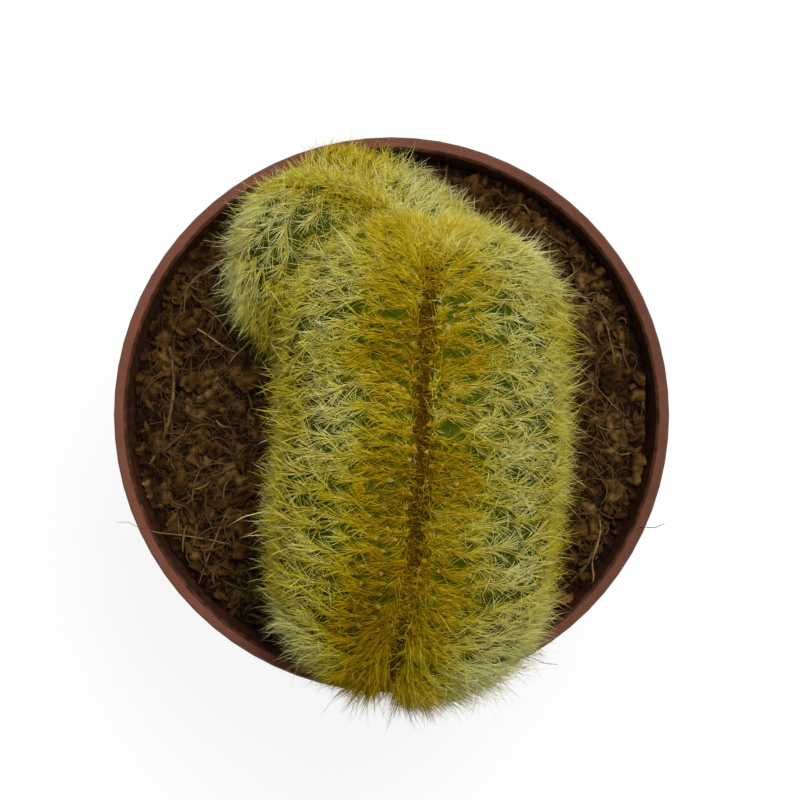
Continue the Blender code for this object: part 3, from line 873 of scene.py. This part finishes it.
def felt_cushions(name, frames, ages, seed):
    """A low dome of six sides at each areole, longer down the flank."""
    rng = np.random.default_rng(seed)
    point, outwards, down, along = frames
    sides = 6
    turns = 2 * np.pi * np.arange(sides) / sides
    young = np.exp(-ages / (8 * MM))
    size = (0.30 + 0.13 * young) * MM * rng.uniform(0.65, 1.35, len(ages))
    rings = []
    for wide, high in ((1.0, -0.25), (0.85, 0.45)):
        ring = down[:, None] * (1.25 * np.cos(turns))[:, None] + along[:, None] * np.sin(turns)[:, None]
        rings.append(point[:, None] + (ring * wide + outwards[:, None] * high * 0.8) * size[:, None, None])
    top = (point + outwards * (0.85 * size)[:, None])[:, None]
    body = np.concatenate(rings + [top], 1) + outwards[:, None] * 0.35 * MM
    body += rng.normal(size=body.shape) * 0.15 * MM
    here, after = np.arange(sides), (np.arange(sides) + 1) % sides
    lower = np.stack([here, after, sides + after], -1)
    upper = np.stack([here, sides + after, sides + here], -1)
    cap = np.stack([sides + here, sides + after, np.full(sides, 2 * sides)], -1)
    each = 2 * sides + 1
    pattern = np.concatenate([lower, upper, cap])
    faces = (pattern[None] + (np.arange(len(ages)) * each)[:, None, None]).reshape(-1, 3)
    tones = 0.10 + 0.70 * (1 - young[:, None]) + 0.35 * rng.normal(size=(len(ages), 1))
    tones = tones - 0.5 * np.concatenate([np.cos(turns), np.cos(turns), [0]])
    tones = np.clip(tones + 0.1 * rng.normal(size=tones.shape), LEAST, MOST).reshape(-1)
    mesh_piece(name, body.reshape(-1, 3), faces, FELT, {"tone": tones}, slot="stem")


felt_cushions("large_areoles", large_frames, large_ages, 41)
felt_cushions("small_areoles", small_frames, small_ages, 42)


# ---- Bristles ------------------------------------------------------------------------------
# Fine, flexible spines, two or three dozen to an areole. They stand up brown out of the furrow,
# turn gold on the shoulders and fade to straw on the flanks, where they lie lower and cross.
# Each is a bent, tapering hair of three sides that ends in a point.


def bristle_material():
    """Straight from two numbers on every hair: how far along it, and how brown, gold or straw."""
    made, tree = new_material("bristle", 0.35, 0.015)
    along, tone = painted(tree, "along"), painted(tree, "tone")
    body = colour_ramp(
        tree, tone,
        (0.0, (0.045, 0.022, 0.001)), (0.2, (0.19, 0.105, 0.001)), (0.4, (0.50, 0.32, 0.001)),
        (0.6, (0.65, 0.52, 0.004)), (0.8, (0.72, 0.67, 0.075)), (1.0, (0.80, 0.79, 0.27)),
    )
    # The darker, saturated base is partly the bristle's own colour and partly painted shade deep among the
    # bristles; the pale straw tips of old ones are partly painted highlight.
    root = mix_colours(tree, 0.74, body, (0.31, 0.155, 0.001))
    shaft = mix_colours(tree, maths(tree, "DIVIDE", along, 0.36, clamp=True), root, body)
    old = maths(tree, "MULTIPLY", maths(tree, "SUBTRACT", tone, 0.6, clamp=True), 4.0)
    paler = maths(tree, "MULTIPLY", maths(tree, "SUBTRACT", along, 0.35, clamp=True), old)
    return finished(made, mix_colours(tree, paler, shaft, (0.94, 0.93, 0.56)))


BRISTLE = bristle_material()


# By how many points a hair has: where they lie along it, and how thick it is there.
HAIR_STEPS = {3: (0.0, 0.52, 1.0), 4: (0.0, 0.36, 0.70, 1.0)}
HAIR_TAPER = {3: (1.0, 0.82, 0.0), 4: (1.0, 0.9, 0.68, 0.0)}


def grow(
    name, frames, each, length, spread, rise, tone, seed,
    around=0.0, width=0.06 * MM, bow=0.12, jitter=0.5 * MM, bends=4, mottled=0.11,
):
    """Bristles at areoles. Each of each, length, spread, rise and tone is one number per areole.

    spread is how far they fan out from straight down the flank, and rise how steeply they stand
    off the skin, both in degrees. around is the share of them that point any way at all. Those
    of one areole bend alike. Hairs that would pass through the pot's wall are left out.
    """
    rng = np.random.default_rng(seed)
    pick = np.repeat(np.arange(len(each)), rng.poisson(each))
    point, outwards, down, along = (part[pick] for part in frames)
    number = len(pick)
    fan = np.radians(rng.normal(size=number) * spread[pick] + 8 * rng.normal(size=len(each))[pick])
    any_way = rng.uniform(-np.pi, np.pi, number)
    any_way -= 0.35 * np.sin(2 * any_way)
    fan = np.where(rng.random(number) < np.broadcast_to(around, len(each))[pick], any_way, fan)
    stand = np.radians(np.clip(rise[pick] + 12 * rng.normal(size=number), 2, 89))
    flat = down * np.cos(fan)[:, None] + along * np.sin(fan)[:, None]
    way = flat * np.cos(stand)[:, None] + outwards * np.sin(stand)[:, None]
    reach = length[pick] * np.clip(1 + 0.22 * rng.normal(size=number), 0.4, 1.7)
    strewn = down * rng.normal(size=(number, 1)) + along * rng.normal(size=(number, 1))
    root = point + outwards * 0.25 * MM + strewn * jitter / 2
    shared = rng.normal(size=(len(each), 3))[pick] * 0.16
    weight = np.array([0, 0, 0.05])
    curl = rng.normal(size=(number, 3)) * bow + shared + flat * 0.06 - weight
    curl -= way * (curl * way).sum(1)[:, None]
    steps = np.array(HAIR_STEPS[bends])[None, :, None]
    paths = root[:, None] + (way[:, None] * steps + curl[:, None] * steps**2) * reach[:, None, None]
    tips = paths[:, -1]
    at_wall = np.hypot(tips[:, 0], tips[:, 1]) > WALL_RADIUS - 0.5 * MM
    in_wall = at_wall & (tips[:, 2] < LIP_TOP + 0.6 * MM)
    paths, pick = paths[~in_wall], pick[~in_wall]
    number = len(pick)
    thick = np.broadcast_to(width, len(each))[pick] * np.clip(1 + 0.25 * rng.normal(size=number), 0.55, 1.7)
    corners, faces, points = strand_mesh(paths, thick[:, None] * np.array(HAIR_TAPER[bends]))
    own = np.clip(tone[pick] + mottled * rng.normal(size=number), 0.03, 0.97)
    tones = np.repeat(own, points)
    alongs = np.tile(np.clip(np.repeat(HAIR_STEPS[bends], 3)[:points], LEAST, MOST), number)
    apart = np.tile([-0.002, 0.0, 0.002] * (bends - 1) + [0.0], number)
    baked = np.stack([alongs, tones + apart], 1)
    mesh_piece(name, corners, faces, BRISTLE, {"along": alongs, "tone": tones}, baked, "stem")


# Places along the large crest, front to back in millimetres, where the bristles are golden or
# brown far down the flank: (place, half width, reach down the flank, strength, tone).
GOLD_BANDS = (
    (-52, 10, 8, 0.9, 0.42),
    (-32, 9, 12, 0.9, 0.36),
    (-12.5, 5.5, 12, 0.8, 0.40),
    (10.5, 3.2, 12, 1.0, 0.34),
    (33, 10, 15, 1.0, 0.67),
)


def large_gold(places, ages):
    """How far the bristles at these places belong to a golden band, its tone, and how silky they are."""
    y = places[:, 1] / MM
    weights = [
        strength * np.exp(-(((y - at) / wide) ** 2)) * np.exp(-((ages / MM / reach) ** 2))
        for at, wide, reach, strength, _ in GOLD_BANDS
    ]
    tones = sum(weight * band[4] for weight, band in zip(weights, GOLD_BANDS)) / (sum(weights) + 1e-9)
    return np.clip(sum(weights), 0, 1), tones, ramp_between(-y, 30, 42) + 0.6 * ramp_between(y, 18, 27)


def by_large_stem(places, reach):
    """1 on the large stem, falling off over this reach."""
    apart = np.array([height_above(large_surface, place) for place in places])
    return np.exp(-((apart / reach) ** 2))


def small_gold(places, ages):
    """The same for the small crest, golden along the furrow and silky away from the lip it leans on."""
    left = 1 - ramp_between(places[:, 0], -6 * MM, 3 * MM)
    silky = 1 - 1.3 * ramp_between(places[:, 1], 37 * MM, 46 * MM) * left
    fold = by_large_stem(places, 6 * MM)
    # Painted shade: darker in the fold where the small stem presses on the large one.
    return 0.95 * np.exp(-((ages / (5 * MM)) ** 2)), 0.97 - 0.17 * left - 0.38 * fold * left, silky


WORN = Vector((-21, 31, 97)) * MM  # a patch that has lost part of its bristles
WORN_REACH = 6 * MM


def coat(prefix, frames, ages, sides, seed, gold_of, paler=0.0, softer=0.0):
    """All the bristles of one stem: a fan and a few stouter central ones at each areole.

    Close to the furrow they lie combed down the flank. Farther down they spread into stars.
    """
    places = frames[0]
    x, y = places[:, 0], places[:, 1]
    patch = noise_at(places, 95) + 0.6 * noise_at(places, 260)
    gold, gold_tone, silky = gold_of(places, ages)
    silk = np.clip(silky, 0, 1)
    star = ramp_between(ages, 5 * MM, 13 * MM) * (1 - 0.75 * silk)
    low = ramp_between(ages, 16 * MM, 28 * MM)
    tops = ramp_between(y, 27 * MM, 33 * MM) * (1 - softer)
    far_right = ramp_between(x, -6 * MM, 4 * MM) * softer
    fold = by_large_stem(places, 5 * MM) * (1 - ramp_between(x, -6 * MM, 3 * MM)) if softer else 0 * ages
    tone = 0.50 + paler + 0.36 * ramp_between(ages, 4.5 * MM, 14 * MM) + 0.14 * patch
    # Lower down the flank the bristles are darker, as painted shade, except the silky ones.
    tone = tone - (0.12 - 0.20 * silk) * low + 0.08 * ramp_between(-y, 30 * MM, 42 * MM)
    # Painted light and shade: bristles on one side of each crest are a little paler, on the other a little
    # darker.
    tone = np.clip(tone + (gold_tone - 0.03 + 0.1 * patch - tone) * gold + 0.05 * sides, 0.08, 0.97)
    # Painted shade on the small stem: darker in the fold against the large stem and on its part nearest it.
    tone = tone - 0.28 * fold - 0.18 * softer * ramp_between(-y, -27 * MM, -17 * MM)
    # On one side the lower flank is darker still, as painted shade; at the far right of the small stem the
    # bristles are paler.
    tone = np.clip(tone + 0.2 * far_right - 0.1 * low * (sides > 0), 0.02, 1)
    length = 3.4 + 0.9 * star + 0.4 * low * star + 0.5 * gold + 1.5 * silky
    length = (length - 1.1 * tops - 0.9 * far_right) * MM
    width = (0.047 - 0.003 * silk + 0.008 * low) * MM
    spread = 18 + 16 * star + 8 * softer
    rise = 19 + 10 * low + 8 * silky
    around = 0.06 + 0.10 * star
    each = 25 + 6 * star + 4 * gold - 17 * low * star + 2 * silky + 6 * softer + 6 * tops
    each = each * (1 - 0.3 * far_right) * (1 - 0.3 * star * far_right)
    worn = np.exp(-((places - np.array(WORN)) ** 2).sum(1) / WORN_REACH**2)
    each = each * (1 - 0.6 * worn) * (1 - 0.45 * fold)
    long = length > 4.0 * MM
    back = y > np.median(y[long])
    left = sides < 0
    for label, own in (
        ("short", ~long),
        ("front_left", long & ~back & left),
        ("front_right", long & ~back & ~left),
        ("back_left", long & back & left),
        ("back_right", long & back & ~left),
    ):
        grow(
            f"{prefix}_bristles_{label}", [vectors[own] for vectors in frames],
            each[own], length[own], spread[own], rise[own], tone[own], seed + len(label),
            around=around[own], width=width[own], bow=0.16, jitter=0.42 * MM, bends=3,
        )
    grow(
        f"{prefix}_bristles_central", frames,
        1.6 * np.ones(len(ages)), 1.25 * length, 1.8 * spread, rise + 22, tone - 0.03, seed + 5,
        around=0.5 * star, width=1.2 * width, bow=0.18, jitter=0.25 * MM,
    )


FURROW_ROWS = (0.998, 0.9917, 0.984, 0.975)
ROW_AGE = 0.6 * MM  # how much farther from the furrow each next row is


def furrow_rows(stem, covered, gap, seed):
    """Frames close along the furrow, where new areoles form, and their ages."""
    rng = np.random.default_rng(seed)
    parts, ages = [], []
    around = np.linspace(-BELOW_LEVEL, math.pi + BELOW_LEVEL, 720)
    line = skin_point(stem, around, np.full_like(around, FURROW_ROWS[0]), 1)
    run = run_along(line)
    for side in (-1, 1):
        for row, share in enumerate(FURROW_ROWS):
            stops = np.arange(0, run[-1], gap) + gap * rng.random()
            turns = np.interp(stops, run, around) + rng.normal(size=len(stops)) * 0.008
            vectors = skin_frame(stem, turns, np.full_like(turns, share), side)
            keep = np.array([not covered(point) for point in vectors[0]])
            parts.append([vector[keep] for vector in vectors])
            ages.append(np.full(keep.sum(), row * ROW_AGE))
    return [np.concatenate(part) for part in zip(*parts)], np.concatenate(ages)


def furrow_coat(prefix, stem, covered, seed, gold_of, open_ends=0.0):
    """New bristles, packed and upright along the furrow. They close over it where it is gold."""
    frames, ages = furrow_rows(stem, covered, 1.3 * MM, seed)
    rng = np.random.default_rng(seed)
    patch = noise_at(frames[0], 260)
    gold, gold_tone, silky = gold_of(frames[0], ages)
    y = frames[0][:, 1]
    open_front = np.clip(silky, 0, 1) * (y < 0)
    open_middle = 0.4 * (1 - ramp_between(np.abs(y), 14 * MM, 24 * MM))
    gold = gold * (1 - open_ends * np.maximum(open_front, open_middle))
    tone = 0.06 + 0.14 * ages / MM + 0.22 * patch + 0.08 * rng.normal(size=len(ages))
    tone += 0.35 * (rng.random(len(ages)) < 0.10 * ages / MM)
    tone = tone + (gold_tone - 0.02 - tone) * gold**1.5
    length = (0.8 + 0.35 * ages / MM + 1.9 * gold**2) * MM
    spread = 60 + 60 * gold
    grow(
        f"{prefix}_bristles_furrow", frames, 8 + 2 * gold, length, spread, 62 - 12 * ages / MM, tone, seed,
        around=0.4, width=0.06 * MM, bow=0.35, jitter=0.9 * MM, bends=3, mottled=0.15,
    )


def stray_tuft(name, place, reach, seed):
    """One areole cluster whose bristles grew out long, pale and curled."""
    own = ((large_frames[0][:, :2] - np.array(place)) ** 2).sum(1) < reach**2
    part = [vectors[own] for vectors in large_frames]
    one = np.ones(own.sum())
    grow(
        name, part, 2.4 * one, 5.2 * MM * one, 40 * one, 30 * one, 0.97 * one, seed,
        width=0.10 * MM, bow=0.75,
    )


coat("large", large_frames, large_ages, large_sides, 51, large_gold)
coat("small", small_frames, small_ages, small_sides, 61, small_gold, paler=0.04, softer=1.0)
furrow_coat("large", LARGE, under_mix, 71, large_gold, open_ends=1.0)
furrow_coat("small", SMALL, covered_small, 72, small_gold)
stray_tuft("large_bristles_stray", (20 * MM, 29 * MM), 2.8 * MM, 77)


# ---- Floor, light and camera ---------------------------------------------------------------
# A white sweep under soft, even light from overhead. The camera looks straight down.

FAR = 3.0  # from the middle of the floor to its sides
FLOOR_LEVEL = -0.2 * MM


def seen_directly(tree):
    """1 where it is seen, straight, in a shine or through something clear, and 0 for the light it gives."""
    path = tree.nodes.new("ShaderNodeLightPath")
    seen = maths(tree, "MAXIMUM", path.outputs["Is Camera Ray"], path.outputs["Is Glossy Ray"])
    return maths(tree, "MAXIMUM", seen, path.outputs["Is Transmission Ray"])


def floor_material():
    """White, with the shadow that falls on it kept faint where it is seen."""
    made = bpy.data.materials.new("white_floor")
    made.use_nodes = True
    tree = made.node_tree
    tree.nodes.remove(tree.nodes["Principled BSDF"])
    matte = add_node(tree, "ShaderNodeBsdfDiffuse", Color=(0.8, 0.8, 0.8))
    faint = add_node(tree, "ShaderNodeBsdfDiffuse", Color=(0.12, 0.12, 0.12))
    glow = add_node(tree, "ShaderNodeEmission", Strength=0.90)
    both = tree.nodes.new("ShaderNodeAddShader")
    choose = tree.nodes.new("ShaderNodeMixShader")
    for start, end in (
        (faint.outputs[0], both.inputs[0]),
        (glow.outputs[0], both.inputs[1]),
        (seen_directly(tree), choose.inputs[0]),
        (matte.outputs[0], choose.inputs[1]),
        (both.outputs[0], choose.inputs[2]),
        (choose.outputs[0], tree.nodes["Material Output"].inputs["Surface"]),
    ):
        tree.links.new(start, end)
    return made


corners = [(x, y, FLOOR_LEVEL) for x, y in ((-FAR, -FAR), (FAR, -FAR), (FAR, FAR), (-FAR, FAR))]
floor = mesh_piece("floor", corners, [[0, 1, 2, 3]], floor_material())

world = bpy.data.worlds.new("sky")
bpy.context.scene.world = world
world.use_nodes = True
sky = world.node_tree
background = sky.nodes["Background"]
strength = add_node(sky, "ShaderNodeMapRange", Value=seen_directly(sky))
strength.inputs["To Min"].default_value = 0.16
strength.inputs["To Max"].default_value = 1.0
sky.links.new(strength.outputs[0], background.inputs["Strength"])
background.inputs["Color"].default_value = (1, 1, 1, 1)


def add_lamp(name, place, size, power):
    """A square soft lamp aimed at the plant."""
    lamp = bpy.data.lights.new(name, "AREA")
    lamp.size = size
    lamp.energy = power
    made = new_object(name, lamp)
    made.location = place
    made.rotation_euler = (Vector((0, 0, LIP_TOP)) - Vector(place)).to_track_quat("-Z", "Y").to_euler()


add_lamp("overhead", (0.17, 0.33, 1.04), 0.36, 11.0)

CAMERA_ABOVE_LIP = 0.45
HALF_VIEW = 75.5 * MM
camera = bpy.data.cameras.new("camera")
camera.angle = 2 * math.atan(HALF_VIEW / CAMERA_ABOVE_LIP)
camera.clip_start = 0.01
eye = new_object("camera", camera)
eye.location = (1.6 * MM, 2.8 * MM, LIP_TOP + CAMERA_ABOVE_LIP)
bpy.context.scene.camera = eye
bpy.context.scene.view_settings.view_transform = "Standard"
